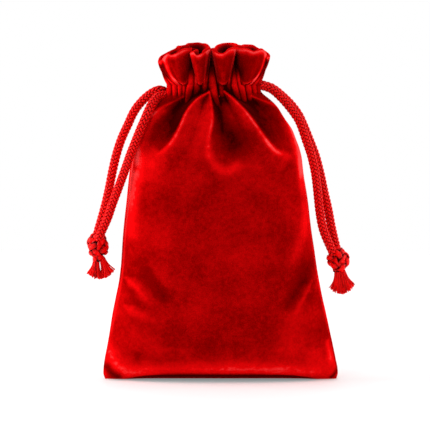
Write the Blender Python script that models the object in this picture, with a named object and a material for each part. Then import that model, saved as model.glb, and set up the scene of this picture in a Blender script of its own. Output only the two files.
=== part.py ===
"""Kinchaku drawstring pouch of red velvet, drawn shut and standing on its two bottom corners.

Each side of the bag is one panel of velvet with its top folded inside, so that a channel runs
round the neck. Two braided cords run in the channel, one leaving at each side seam, and each
cord's two ends are tied in one knot and frayed.

Millimetres in the values and functions, metres in the scene. +X is right, -Y is the front,
+Z is up. The origin is on the floor under the middle of the bag.
"""

import math

import bmesh
import bpy
import numpy as np
from mathutils import Matrix, Vector

MM = 0.001

# The bag
BAG_WIDTH = 100.4
BELLY_DEPTH = 38.0
CLOTH = 1.5
SEAM_GAP = 0.3
SEAM_GROOVE = 0.9
CORNER_RADIUS = 5.0
BASE_ROUND = 15.0
BASE_ROUND_POWER = 2.7
BODY_POWER = 2.35
BOTTOM_ARCH = 2.4
FOOT_INSET = 10.0
FOOT_FLAT = 1.2
SEAM_FADE = 0.12

# The gathered neck and the ruffle above it
NECK_HEIGHT = 124.4
NECK_SHIFT = -2.8
NECK_STRAIGHT = 19.2
NECK_POWER = 3.2
NECK_POWER_FROM = 0.8
NECK_POWER_OVER = 0.17
RUFFLE_HEIGHT = 19.3
RUFFLE_FLARE = 3.2
RUFFLE_WAVE = 3.1
RUFFLE_DIP = 1.1
HEM = 2.2
PLEATS = 12
PLEAT_DEPTH = 1.5
PLEAT_REACH = 13.0
RIM_DEPTH_SHARE = 0.4
WAVE_START = 1.6
THROAT_OPENING = 2.2

# The cords and the channel that they run in
CORD_DIAMETER = 4.0
CORD_PLAY = 0.3
CHANNEL_BEND = 7.2
CHANNEL_LINING = 1.0
CHANNEL_COVER = 1.2
SLIT_WIDTH = 13.2
CORD_STEP = 3.05

# The knots and their frayed ends
KNOT_DIAMETER = 10.0
KNOT_TURN = 0.8
FRAY_LENGTH = 10.2
FRAY_TOP = 5.4
FRAY_SPREAD = 5.4
FRAY_WIDENS = 1.25
FRAY_APART = 0.4
FRAY_RIBS = 5
FRAY_RIB_DEPTH = 0.08
KNOT_SEAT = 0.93
KNOT_LOBES = 1.5
KNOT_TWIST = 2.2
KNOT_ROUND = 0.7

CHANNEL_WIDTH = CORD_DIAMETER + 2 * CORD_PLAY
CHANNEL_HEIGHT = 2 * CHANNEL_WIDTH
CHANNEL_FLOOR = NECK_HEIGHT - CHANNEL_HEIGHT / 2
CHANNEL_ROOF = NECK_HEIGHT + CHANNEL_HEIGHT / 2
LOWER_LANE = NECK_HEIGHT - CHANNEL_WIDTH / 2
UPPER_LANE = NECK_HEIGHT + CHANNEL_WIDTH / 2
NECK_RADIUS = CHANNEL_BEND + CHANNEL_WIDTH / 2 + CHANNEL_COVER
NECK_HALF_WIDTH = NECK_STRAIGHT / 2 + NECK_RADIUS
THROAT_RADIUS = CHANNEL_BEND - CHANNEL_WIDTH / 2 - CHANNEL_LINING
THROAT_HALF_WIDTH = NECK_STRAIGHT / 2 + THROAT_RADIUS
RIM = NECK_HEIGHT + RUFFLE_HEIGHT
SEAM = SEAM_GAP / 2

# A fold's width at its top and how much wider it is at its foot, as shares, and how much lower it is there
FOLD_TOP_WIDTH = 0.7
FOLD_WIDENS = 0.9
FOLD_SINKS = 0.75

# How far the side line has gone from the corner to the neck, by share of the neck's height
TAPER = ((0.0, 0.0), (0.04, 0.0), (0.17, 0.105), (0.337, 0.242), (0.48, 0.315), (0.61, 0.375),
         (0.72, 0.443), (0.80, 0.53), (0.865, 0.64), (0.92, 0.78), (0.955, 0.9), (0.985, 0.985), (1.0, 1.0))
# How far the front has come in from the belly's depth to the neck's, by share of the neck's height
HOLLOW = ((0.0, 0.8), (0.10, 0.62), (0.20, 0.42), (0.337, 0.18), (0.48, 0.04), (0.62, 0.0), (0.72, 0.04),
          (0.80, 0.13), (0.865, 0.28), (0.92, 0.5), (0.955, 0.72), (0.985, 0.94), (1.0, 1.0))
# How far the ruffle has opened at the sides, by share of its height above the channel
FLARE = ((0.0, 0.0), (0.2, 0.25), (0.45, 0.75), (0.7, 1.0), (1.0, 0.9))

# Where the ruffle's valleys are, as shares of its half width
FRONT_VALLEYS = (-1.0, -0.44, -0.025, 0.40, 1.0)
BACK_VALLEYS = (-1.0, -0.53, -0.03, 0.46, 1.0)

# The folds that run down from the neck: (x, depth below the neck) along the crest, half width,
# and how far it stands out
FRONT_FOLDS = (
    (((-14.0, 1.4), (-20.5, 5.9), (-28.5, 12.9), (-32.6, 19.9), (-34.4, 27.4)), 3.4, 3.0),
    (((-10.0, 0.4), (-13.7, 9.4), (-17.0, 15.9), (-20.5, 21.6), (-27.0, 27.4)), 3.1, 4.2),
    (((-4.6, -0.6), (-3.6, 6.9), (-3.6, 13.4), (-5.2, 21.4), (-3.0, 29.4), (2.4, 32.8)), 3.3, 4.2),
    (((3.6, -0.1), (9.5, 6.9), (13.2, 12.4), (17.7, 18.4), (21.5, 23.4), (26.0, 26.9)), 3.4, 4.4),
    (((11.6, 0.9), (18.0, 5.4), (25.6, 11.6), (29.6, 18.9), (31.4, 28.4)), 3.1, 3.3),
    (((2.4, 32.8), (7.8, 29.8), (9.0, 23.4)), 3.2, 2.0),
    (((-41.2, 80.4), (-36.0, 84.9), (-31.0, 91.4)), 3.0, 1.2),
    (((41.0, 80.4), (35.0, 88.4), (30.5, 97.4)), 3.0, 1.2),
)
BACK_FOLDS = (
    (((-14.0, 1.4), (-19.5, 6.9), (-27.5, 13.9), (-31.4, 22.4), (-33.0, 31.4)), 3.4, 2.9),
    (((-8.6, 0.4), (-10.7, 9.4), (-15.0, 17.4), (-18.5, 25.4), (-20.0, 34.4)), 3.2, 4.1),
    (((-1.4, -0.6), (-0.4, 8.4), (1.6, 16.4), (1.2, 26.4), (-2.0, 36.4)), 3.4, 4.3),
    (((5.6, -0.1), (8.5, 7.9), (12.8, 15.4), (16.7, 23.4), (18.5, 32.4)), 3.2, 4.1),
    (((11.8, 0.9), (17.2, 6.4), (24.0, 13.6), (28.0, 21.9), (29.4, 30.4)), 3.4, 2.8),
    (((-40.6, 77.4), (-34.0, 82.9), (-29.0, 88.4)), 3.0, 1.2),
    (((41.4, 85.4), (36.0, 91.4), (29.5, 95.4)), 3.0, 1.2),
)

# Rows of the mesh, as counts or as shares of the stretch that they cover
COLUMNS = 46
BASE_ROWS = (0.0, 0.012, 0.045, 0.1, 0.2, 0.36, 0.6)
BODY_ROWS = 19
INSIDE_ROWS = 7
ROW_CROWDING = 1.55
NECK_ROWS = (0.15, 0.5, 0.85)
RUFFLE_ROWS = (0.02, 0.2, 0.38, 0.56, 0.74, 0.88)
RIM_ROWS = (0.2, 0.5, 0.8)
INSIDE_RUFFLE_ROWS = (0.86, 0.62, 0.4, 0.2)
INSIDE_BASE_ROWS = (0.5, 0.2, 0.05, 0.0)

# The cord's way out through the slit, from beyond the channel's bend: (distance along X, y)
SLIT_ROUTE = ((9.8, -3.2), (7.4, -3.9))
# The free cord from slit to knot, (x, y, z), for each of the four strands
LEFT_FRONT_STRAND = ((-26.1, -5.3, 122.2), (-28.6, -9.0, 120.0), (-30.7, -11.4, 117.0), (-32.5, -12.5, 113.2),
                     (-34.2, -12.2, 109.3), (-36.5, -10.9, 103.6), (-39.0, -8.7, 97.2), (-41.4, -6.5, 90.4),
                     (-44.0, -5.0, 83.3), (-46.6, -4.0, 76.4), (-48.9, -3.2, 69.8), (-51.2, -2.4, 63.25))
LEFT_BACK_STRAND = ((-25.4, 2.4, 124.4), (-29.4, 2.5, 123.0), (-33.4, 2.5, 119.6), (-36.8, 2.5, 115.3),
                    (-39.6, 2.4, 110.0), (-42.7, 2.4, 103.2), (-44.9, 2.3, 96.4), (-46.5, 2.3, 89.6),
                    (-47.9, 2.3, 82.6), (-49.3, 2.2, 76.4), (-51.0, 2.2, 70.0), (-52.6, 2.2, 63.25))
RIGHT_FRONT_STRAND = ((18.6, -2.7, 126.3), (22.0, -2.7, 124.9), (25.6, -2.7, 121.7), (29.0, -2.7, 117.9),
                      (31.8, -2.7, 114.2), (33.9, -2.7, 110.6), (36.8, -2.6, 103.4), (39.1, -2.5, 96.6),
                      (40.8, -2.4, 89.0), (41.8, -2.4, 81.0), (42.7, -2.3, 73.0), (44.2, -2.3, 65.2),
                      (47.1, -2.2, 57.15))
RIGHT_BACK_STRAND = ((18.6, 2.3, 126.3), (22.2, 2.3, 125.0), (26.4, 2.3, 121.7), (30.2, 2.3, 117.9),
                     (33.2, 2.3, 113.9), (35.4, 2.3, 109.8), (38.4, 2.3, 103.0), (41.0, 2.3, 96.2),
                     (43.0, 2.3, 88.8), (44.7, 2.3, 81.0), (46.2, 2.3, 73.0), (47.6, 2.3, 65.2),
                     (49.5, 2.2, 57.1))
LEFT_KNOT = (-52.5, 0.0, 57.9)
LEFT_KNOT_LEAN = 4.0
RIGHT_KNOT = (50.4, 0.0, 51.9)
RIGHT_KNOT_LEAN = 6.0


def clear_scene():
    for thing in list(bpy.data.objects):
        bpy.data.objects.remove(thing)


def make_material(name, colour, roughness):
    material = bpy.data.materials.new(name)
    material.use_nodes = True
    shader = material.node_tree.nodes["Principled BSDF"]
    shader.inputs["Base Color"].default_value = (*colour, 1.0)
    shader.inputs["Roughness"].default_value = roughness
    shader.inputs["Metallic"].default_value = 0.0
    return material


def make_object(name, mesh, material):
    mesh.materials.append(material)
    thing = bpy.data.objects.new(name, mesh)
    bpy.context.scene.collection.objects.link(thing)
    return thing


def finish_mesh(bm, name, material):
    """Turns the faces out and makes the object, from a bmesh in millimetres."""
    bmesh.ops.recalc_face_normals(bm, faces=bm.faces)
    bmesh.ops.scale(bm, vec=Vector((MM, MM, MM)), verts=bm.verts)
    mesh = bpy.data.meshes.new(name)
    bm.to_mesh(mesh)
    bm.free()
    mesh.shade_smooth()
    mesh.set_sharp_from_angle(angle=math.radians(50))
    return make_object(name, mesh, material)


def eased(share):
    share = min(max(share, 0.0), 1.0)
    return share * share * (3 - 2 * share)


def blend(first, second, share):
    return first + (second - first) * share


def read_curve(points, at):
    """The smooth curve through (place, value) points, read at one place."""
    places = [place for place, _ in points]
    values = [value for _, value in points]
    last = len(points) - 1
    at = min(max(at, places[0]), places[last])
    left = min(int(np.searchsorted(places, at, side="right")) - 1, last - 1)

    def slope(i):
        before, after = max(i - 1, 0), min(i + 1, last)
        return (values[after] - values[before]) / (places[after] - places[before])

    run = places[left + 1] - places[left]
    t = (at - places[left]) / run
    return ((2 * t**3 - 3 * t**2 + 1) * values[left] + (t**3 - 2 * t**2 + t) * run * slope(left)
            + (3 * t**2 - 2 * t**3) * values[left + 1] + (t**3 - t**2) * run * slope(left + 1))


def across_share(s):
    """Share of the half width at column share s: the columns lie closer together towards the seams."""
    return 1.5 * s - 0.5 * s**3


def centre_line(z):
    return NECK_SHIFT * min(z / NECK_HEIGHT, 1.0)


def ruffle_share(z):
    return (z - CHANNEL_ROOF) / (RIM - CHANNEL_ROOF)


def side_line(z):
    """Half the bag's width at this height."""
    if z > CHANNEL_ROOF:
        return NECK_HALF_WIDTH + RUFFLE_FLARE * read_curve(FLARE, ruffle_share(z))
    width = blend(BAG_WIDTH / 2, NECK_HALF_WIDTH, read_curve(TAPER, z / NECK_HEIGHT))
    if z < CORNER_RADIUS:
        width -= CORNER_RADIUS - math.sqrt(CORNER_RADIUS**2 - (CORNER_RADIUS - max(z, 0.0)) ** 2)
    return width


def front_line(z):
    """Half the bag's depth at this height."""
    if z > CHANNEL_ROOF:
        return NECK_RADIUS + RUFFLE_WAVE * RIM_DEPTH_SHARE * eased(2 * ruffle_share(z))
    return blend(BELLY_DEPTH / 2, NECK_RADIUS, read_curve(HOLLOW, z / NECK_HEIGHT))


def plan_power(z):
    return blend(BODY_POWER, NECK_POWER, eased((z / NECK_HEIGHT - NECK_POWER_FROM) / NECK_POWER_OVER))


def bottom_line(x):
    """Height of the bottom seam, which arches up between the two feet."""
    foot = BAG_WIDTH / 2 - FOOT_INSET
    rise = math.cos(math.pi / 2 * min(abs(x) / foot, 1.0)) ** 2
    return (BOTTOM_ARCH + FOOT_FLAT) * rise - FOOT_FLAT


def body_level(share):
    """Height at this share of the way from the round bottom edge to the channel, in steps that
    get shorter towards the top."""
    return blend(BASE_ROUND, CHANNEL_FLOOR, 1 - (1 - share) ** ROW_CROWDING)


def round_share(share):
    """How far out the bottom edge has rounded at this share of its height."""
    return (1 - (1 - share) ** BASE_ROUND_POWER) ** (1 / BASE_ROUND_POWER)


def fold_height(folds, x, z):
    """How far the folds stand out of the panel at this place."""
    here = np.array((x, NECK_HEIGHT - z))
    height = 0.0
    for route, half_width, rise in folds:
        points = np.array(route)
        lengths = np.linalg.norm(np.diff(points, axis=0), axis=1)
        nearest, along = 1e9, 0.0
        for i, length in enumerate(lengths):
            step = points[i + 1] - points[i]
            share = min(max(float((here - points[i]) @ step) / length**2, 0.0), 1.0)
            distance = float(np.linalg.norm(here - points[i] - share * step))
            if distance < nearest:
                nearest, along = distance, (lengths[:i].sum() + share * length) / lengths.sum()
        width = half_width * (FOLD_TOP_WIDTH + FOLD_WIDENS * along)
        height += rise * (1 - FOLD_SINKS * along**2) * math.exp(-((nearest / width) ** 2))
    return height


def ruffle_wave(valleys, u):
    """1 on the crest of each lobe and -1 in the valleys."""
    for left, right in zip(valleys, valleys[1:]):
        if u <= right:
            return -math.cos(2 * math.pi * (u - left) / (right - left))
    return -1.0


def panel_point(s, z, half_width, half_depth, stands_out):
    """A point of the panel at share s of its width, moved out by stands_out; the front has y below 0."""
    u = across_share(s)
    power = plan_power(z)
    across = (1 - min(abs(u), 1.0) ** power) ** (1 / power)
    x = half_width * u
    y = -half_depth * across
    sideways = math.copysign(abs(u) ** (power - 1), u) / half_width
    normal = Vector((sideways, -(across ** (power - 1)) / half_depth)).normalized()
    x += normal.x * stands_out
    y += normal.y * stands_out
    return x + centre_line(z), min(y, -SEAM)


def outer_height(s, z, folds, valleys):
    """How far pleats, folds and the ruffle's lobes stand out at this place."""
    edge = (1 - abs(s)) / SEAM_FADE
    u = across_share(s)
    pleat = 0.5 - 0.5 * math.cos(math.pi * PLEATS * (s + 1))
    fade = 1 - eased((abs(z - NECK_HEIGHT) - CHANNEL_HEIGHT / 2) / PLEAT_REACH)
    height = PLEAT_DEPTH * pleat * fade
    if z < NECK_HEIGHT + CHANNEL_HEIGHT:
        neck_fade = eased((CHANNEL_ROOF - z) / CHANNEL_HEIGHT)
        height += fold_height(folds, centre_line(z) + u * side_line(z), z) * neck_fade
    if z > CHANNEL_ROOF:
        height += RUFFLE_WAVE * ruffle_wave(valleys, u) * eased(WAVE_START * ruffle_share(z))
    return height * eased(edge)


def panel_rows(s, folds, valleys):
    """One column of the panel, from the bottom seam up the outside, over the rim and down the inside."""
    rows = []
    u = across_share(s)
    x_at_foot = u * side_line(0.0)
    seam_z = bottom_line(x_at_foot)
    groove = SEAM_GROOVE if abs(s) == 1.0 else 0.0

    def outside(z, share=1.0):
        half_depth = max(front_line(z) * share, SEAM)
        height = outer_height(s, z, folds, valleys) * share
        x, y = panel_point(s, z, side_line(z) - groove, half_depth, height)
        rows.append((x, y, max(z, 0.0)))

    def inside(z, half_width, half_depth, height=0.0):
        x, y = panel_point(s, z, half_width, max(half_depth, SEAM), height)
        rows.append((x, y, z))

    for share in BASE_ROWS:
        outside(blend(seam_z, BASE_ROUND, share), round_share(share))
    for row in range(BODY_ROWS):
        outside(body_level(row / BODY_ROWS))
    for share in NECK_ROWS:
        outside(blend(CHANNEL_FLOOR, CHANNEL_ROOF, share))
    rim = RIM - RUFFLE_DIP * (0.5 - 0.5 * ruffle_wave(valleys, u))
    for share in RUFFLE_ROWS:
        outside(blend(CHANNEL_ROOF, rim, share))

    top = rim - HEM / 2
    lobe = outer_height(s, top, folds, valleys)
    for share in RIM_ROWS:
        turn = math.pi * share
        inset = HEM / 2 * (1 - math.cos(turn))
        z = top + HEM / 2 * math.sin(turn)
        inside(z, side_line(top) - groove - inset, front_line(top) - inset, lobe)
    for share in INSIDE_RUFFLE_ROWS:
        z = blend(CHANNEL_ROOF + CHANNEL_LINING, rim, share)
        inset = blend(NECK_RADIUS - THROAT_RADIUS, HEM, eased(share * THROAT_OPENING))
        height = outer_height(s, z, folds, valleys) * eased(share * THROAT_OPENING)
        inside(z, side_line(z) - inset, front_line(z) - inset, height)
    for z in (CHANNEL_ROOF + CHANNEL_LINING, CHANNEL_FLOOR - CHANNEL_LINING):
        inside(z, THROAT_HALF_WIDTH, THROAT_RADIUS)
    for row in range(INSIDE_ROWS - 1, -1, -1):
        z = body_level(row / INSIDE_ROWS)
        inside(z, side_line(z) - 2 * CLOTH, front_line(z) - CLOTH)
    for share in INSIDE_BASE_ROWS:
        z = blend(seam_z + 2 * CLOTH, BASE_ROUND, share)
        inside(z, side_line(z) - 2 * CLOTH, (front_line(z) - CLOTH) * round_share(share))
    return rows


def make_panel(name, side, folds, valleys, material):
    """One panel of the bag as a closed solid; side is 1 for the front and -1 for the back."""
    columns = [panel_rows(2 * i / COLUMNS - 1, folds, valleys) for i in range(COLUMNS + 1)]
    row_count = len(columns[0])
    bm = bmesh.new()
    bmesh.ops.create_grid(bm, x_segments=COLUMNS, y_segments=row_count - 1, size=1.0)
    grid = sorted(bm.verts, key=lambda v: (round(v.co.x, 5), round(v.co.y, 5)))
    for i, vert in enumerate(grid):
        x, y, z = columns[i // row_count][i % row_count]
        vert.co = (x, y * side, z)
    first_row = {grid[i * row_count] for i in range(COLUMNS + 1)}
    last_row = {grid[i * row_count + row_count - 1] for i in range(COLUMNS + 1)}
    ends = [e for e in bm.edges if set(e.verts) <= first_row or set(e.verts) <= last_row]
    bmesh.ops.bridge_loops(bm, edges=ends)
    bmesh.ops.holes_fill(bm, edges=[e for e in bm.edges if e.is_boundary], sides=0)
    bmesh.ops.dissolve_degenerate(bm, dist=0.001, edges=bm.edges)
    bmesh.ops.triangulate(bm, faces=[f for f in bm.faces if len(f.verts) > 4])
    panel = finish_mesh(bm, name, material)
    for cutter in (make_channel_cutter(name), *make_slit_cutters(name)):
        cut = panel.modifiers.new(cutter.name, "BOOLEAN")
        cut.operation = "DIFFERENCE"
        cut.solver = "EXACT"
        cut.object = cutter
    return panel


def stadium(radius, straight, steps=24):
    """A closed outline with two straight runs along X and a half circle at each end."""
    points = []
    for i in range(steps + 1):
        turn = math.pi * (i / steps - 0.5)
        points.append((straight / 2 + radius * math.cos(turn), radius * math.sin(turn)))
    return points + [(-x, -y) for x, y in points]


def hide_cutter(cutter):
    cutter.hide_render = True
    cutter.display_type = "WIRE"
    return cutter


def make_channel_cutter(panel_name):
    """The space of the channel, a ring round the neck."""
    bm = bmesh.new()
    loops = []
    for radius in (CHANNEL_BEND + CHANNEL_WIDTH / 2, CHANNEL_BEND - CHANNEL_WIDTH / 2):
        verts = [bm.verts.new((x + NECK_SHIFT, y, CHANNEL_FLOOR)) for x, y in stadium(radius, NECK_STRAIGHT)]
        loops += [bm.edges.new((a, b)) for a, b in zip(verts, verts[1:] + verts[:1])]
    ring = bmesh.ops.bridge_loops(bm, edges=loops)["faces"]
    raised = bmesh.ops.extrude_face_region(bm, geom=ring)["geom"]
    tops = [v for v in raised if isinstance(v, bmesh.types.BMVert)]
    bmesh.ops.translate(bm, vec=Vector((0, 0, CHANNEL_HEIGHT)), verts=tops)
    material = bpy.data.materials["velvet"]
    return hide_cutter(finish_mesh(bm, panel_name + "_channel_cut", material))


def make_slit_cutters(panel_name):
    """The slits in the side seams, where the cords leave the channel."""
    start = NECK_STRAIGHT / 2 + THROAT_RADIUS + CHANNEL_LINING + CORD_PLAY
    end = NECK_HALF_WIDTH + 4 * PLEAT_DEPTH
    cutters = []
    for side, word in ((-1, "left"), (1, "right")):
        bm = bmesh.new()
        bmesh.ops.create_cube(bm, size=1.0)
        bmesh.ops.scale(bm, vec=Vector((end - start, SLIT_WIDTH, CHANNEL_HEIGHT)), verts=bm.verts)
        middle = Vector((side * (start + end) / 2 + NECK_SHIFT, 0.0, NECK_HEIGHT))
        bmesh.ops.translate(bm, vec=middle, verts=bm.verts)
        name = f"{panel_name}_{word}_slit_cut"
        cutters.append(hide_cutter(finish_mesh(bm, name, bpy.data.materials["velvet"])))
    return cutters


def channel_route(side, lane):
    """The cord's middle line in the channel, from the front strand's slit round to the back strand's."""
    straight = NECK_STRAIGHT / 2

    def on_bend(end, degrees):
        turn = math.radians(degrees)
        return (end * (straight + CHANNEL_BEND * math.cos(turn)), -CHANNEL_BEND * math.sin(turn), lane)

    way_out = [(side * (straight + past), across, lane) for past, across in SLIT_ROUTE]
    way_out += [on_bend(side, degrees) for degrees in (45.0, 67.5, 90.0)]
    way_out += [(side * straight * share, -CHANNEL_BEND, lane) for share in (1 / 3, -1 / 3)]
    far_end = [on_bend(-side, 90 - 22.5 * step) for step in range(9)]
    way_back = [(x, -y, z) for x, y, z in reversed(way_out)]
    return [(x + NECK_SHIFT, y, z) for x, y, z in way_out + far_end + way_back]


def smooth_route(points, step):
    """Points about one step apart on the smooth curve through the given points."""
    points = [Vector(p) for p in points]
    ends = [2 * points[0] - points[1]] + points + [2 * points[-1] - points[-2]]
    fine = []
    for before, a, b, after in zip(ends, ends[1:], ends[2:], ends[3:]):
        for i in range(12):
            t = i / 12
            fine.append(0.5 * (2 * a + (b - before) * t + (2 * before - 5 * a + 4 * b - after) * t**2
                               + (3 * a - before - 3 * b + after) * t**3))
    fine.append(points[-1])
    lengths = np.cumsum([0.0] + [(b - a).length for a, b in zip(fine, fine[1:])])
    count = max(round(lengths[-1] / step), 2)
    places = np.linspace(0.0, lengths[-1], count + 1)
    axes = [np.interp(places, lengths, [p[axis] for p in fine]) for axis in range(3)]
    return list(zip(*axes))


def make_cord(name, side, lane, front_strand, back_strand, material):
    """One cord: from its knot up the front strand, round the neck in the channel and down the back strand."""
    route = list(reversed(front_strand)) + channel_route(side, lane) + list(back_strand)
    points = smooth_route(route, CORD_STEP)
    curve = bpy.data.curves.new(name, "CURVE")
    curve.dimensions = "3D"
    curve.bevel_depth = CORD_DIAMETER / 2 * MM
    curve.bevel_resolution = 2
    curve.use_fill_caps = True
    spline = curve.splines.new("POLY")
    spline.points.add(len(points) - 1)
    for place, point in zip(spline.points, points):
        place.co = (point[0] * MM, point[1] * MM, point[2] * MM, 1.0)
    return make_object(name, curve, material)


def hang(bm, centre, lean):
    """Leans what hangs from the cord to its side and moves it to its place."""
    tilt = Matrix.Rotation(-math.radians(lean), 3, "Y")
    bmesh.ops.rotate(bm, cent=(0, 0, 0), matrix=tilt, verts=bm.verts)
    bmesh.ops.translate(bm, vec=Vector(centre), verts=bm.verts)


def make_knot(name, centre, lean, material):
    """A knot of both ends of a cord: a ball with the turns of the cord standing out of it."""
    bm = bmesh.new()
    bmesh.ops.create_icosphere(bm, subdivisions=3, radius=1.0)
    radius = KNOT_DIAMETER / 2
    seat = -radius * KNOT_SEAT
    for vert in bm.verts:
        turn = math.atan2(vert.co.y, vert.co.x)
        tilt = vert.co.z
        middle = 1 - tilt**2
        turns = abs(math.sin(KNOT_LOBES * turn + KNOT_TWIST * tilt)) ** KNOT_ROUND
        vert.co *= radius - 2 * KNOT_TURN * middle * (1 - turns)
        vert.co.z = max(vert.co.z, seat)
    hang(bm, centre, lean)
    return finish_mesh(bm, name, material)


def make_tuft(bm, side):
    """A ribbed cone of loose yarns that leans to its side, hanging from the knot's flat underside."""
    radius = FRAY_TOP / 2
    bmesh.ops.create_cone(bm, cap_ends=True, segments=FRAY_RIBS * 4, radius1=radius * FRAY_WIDENS,
                          radius2=radius, depth=FRAY_LENGTH)
    for vert in bm.verts:
        if vert.co.z < 0:
            rib = math.cos(FRAY_RIBS * math.atan2(vert.co.y, vert.co.x))
            vert.co.xy *= 1 + FRAY_RIB_DEPTH * rib
            vert.co.x += side * FRAY_SPREAD / 2
    seat = -KNOT_DIAMETER / 2 * KNOT_SEAT - SEAM_GAP
    offset = Vector((side * FRAY_APART, 0, seat - FRAY_LENGTH / 2))
    bmesh.ops.translate(bm, vec=offset, verts=bm.verts)


def make_fringe(name, centre, lean, material):
    """The frayed ends of both strands, two tufts that spread apart below the knot."""
    halves = []
    for side, tuft_name in ((-1, name), (1, name + "_other_tuft")):
        bm = bmesh.new()
        make_tuft(bm, side)
        hang(bm, centre, lean)
        halves.append(finish_mesh(bm, tuft_name, material))
    fringe, other = halves
    hide_cutter(other)
    join = fringe.modifiers.new("other_tuft", "BOOLEAN")
    join.operation = "UNION"
    join.solver = "EXACT"
    join.object = other
    return fringe


clear_scene()
velvet = make_material("velvet", (0.62, 0.004, 0.008), 0.85)
braid = make_material("braid", (0.60, 0.004, 0.010), 0.6)
yarn = make_material("yarn", (0.66, 0.006, 0.014), 0.75)
make_panel("front_panel", 1, FRONT_FOLDS, FRONT_VALLEYS, velvet)
make_panel("back_panel", -1, BACK_FOLDS, BACK_VALLEYS, velvet)
make_cord("left_cord", -1, LOWER_LANE, LEFT_FRONT_STRAND, LEFT_BACK_STRAND, braid)
make_cord("right_cord", 1, UPPER_LANE, RIGHT_FRONT_STRAND, RIGHT_BACK_STRAND, braid)
make_knot("left_knot", LEFT_KNOT, LEFT_KNOT_LEAN, braid)
make_knot("right_knot", RIGHT_KNOT, RIGHT_KNOT_LEAN, braid)
make_fringe("left_fringe", LEFT_KNOT, LEFT_KNOT_LEAN, yarn)
make_fringe("right_fringe", RIGHT_KNOT, RIGHT_KNOT_LEAN, yarn)
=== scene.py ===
"""Looks of a red velvet kinchaku pouch, drawn shut and standing on its two bottom corners.

Metres in the scene, millimetres in the pieces' own sizes. +X is right, -Y is the front, +Z is up.
"""

import math

import bmesh
import bpy
import numpy as np
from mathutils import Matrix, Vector


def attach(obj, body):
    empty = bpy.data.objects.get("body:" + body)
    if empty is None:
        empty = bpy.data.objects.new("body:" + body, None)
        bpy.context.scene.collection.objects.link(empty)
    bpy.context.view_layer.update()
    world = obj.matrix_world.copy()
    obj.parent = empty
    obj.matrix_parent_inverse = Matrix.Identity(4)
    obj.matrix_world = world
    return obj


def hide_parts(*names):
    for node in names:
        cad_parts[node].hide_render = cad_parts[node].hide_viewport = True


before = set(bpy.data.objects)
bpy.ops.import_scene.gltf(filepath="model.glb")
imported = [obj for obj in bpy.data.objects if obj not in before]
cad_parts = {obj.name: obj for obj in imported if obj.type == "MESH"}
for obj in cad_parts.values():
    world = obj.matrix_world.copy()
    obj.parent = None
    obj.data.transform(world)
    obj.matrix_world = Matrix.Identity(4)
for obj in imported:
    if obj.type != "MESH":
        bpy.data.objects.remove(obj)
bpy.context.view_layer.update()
MM = 0.001

# Camera, floor and light: a seamless white table under a large soft lamp, with a small lamp in front at
# the left and one at each side, seen from a little above the middle of the pouch.
CAMERA_DISTANCE = 1100.0
CAMERA_ELEVATION = 7.0
CAMERA_TARGET = (-2.35, 0.0, 71.0)
VIEW_WIDTH = 183.8
SENSOR_WIDTH = 36.0
TABLE_RADIUS = 420.0
TABLE_WHITE = (0.80, 0.75, 0.75, 1.0)
TABLE_GLOW = (0.84, 1.0, 1.0, 1.0)
TABLE_GLOW_STRENGTH = 0.25
# The white surroundings are seen at full strength and light the pouch at a lower one
SURROUNDINGS_SEEN = 1.0
SURROUNDINGS_LIGHT = 0.40
# A lamp: its name, its place and size in metres, and its power in watts
LAMPS = (("overhead", (-0.10, 0.10, 1.10), 1.2, 8.0), ("key", (-0.55, -0.85, 0.40), 0.30, 1.6),
         ("left_side", (-0.75, 0.00, 0.22), 0.35, 5.5), ("right_side", (0.75, 0.00, 0.22), 0.35, 3.5))

scene = bpy.context.scene
scene.view_settings.view_transform = "Standard"
scene.view_settings.look = "None"
lens_data = bpy.data.cameras.new("camera")
lens_data.sensor_width = SENSOR_WIDTH
lens_data.lens = SENSOR_WIDTH * CAMERA_DISTANCE / VIEW_WIDTH
lens_data.clip_start = 0.05
lens_data.clip_end = 20.0
camera = bpy.data.objects.new("camera", lens_data)
scene.collection.objects.link(camera)
rise = math.radians(CAMERA_ELEVATION)
target = Vector(CAMERA_TARGET) * MM
back = Vector((0.0, -math.cos(rise), math.sin(rise)))
camera.location = target + back * CAMERA_DISTANCE * MM
camera.rotation_mode = "QUATERNION"
camera.rotation_quaternion = (-back).to_track_quat("-Z", "Y")
scene.camera = camera


def new_material(name):
    """An empty principled material: (material, its nodes, its links, the shader)."""
    material = bpy.data.materials.new(name)
    material.use_nodes = True
    tree = material.node_tree
    return material, tree.nodes, tree.links, tree.nodes["Principled BSDF"]


def new_object(name, mesh, material):
    """An object at the origin that shows the mesh in the material."""
    mesh.materials.append(material)
    thing = bpy.data.objects.new(name, mesh)
    scene.collection.objects.link(thing)
    return thing


table_paint, nodes, links, shader = new_material("white_table")
shader.inputs["Base Color"].default_value = TABLE_WHITE
shader.inputs["Emission Color"].default_value = TABLE_GLOW
shader.inputs["Emission Strength"].default_value = TABLE_GLOW_STRENGTH
shader.inputs["Roughness"].default_value = 0.55
shader.inputs["Specular IOR Level"].default_value = 0.2
bm = bmesh.new()
bmesh.ops.create_circle(bm, cap_ends=True, segments=64, radius=TABLE_RADIUS * MM)
mesh = bpy.data.meshes.new("table")
bm.to_mesh(mesh)
bm.free()
new_object("table", mesh, table_paint)

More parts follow.
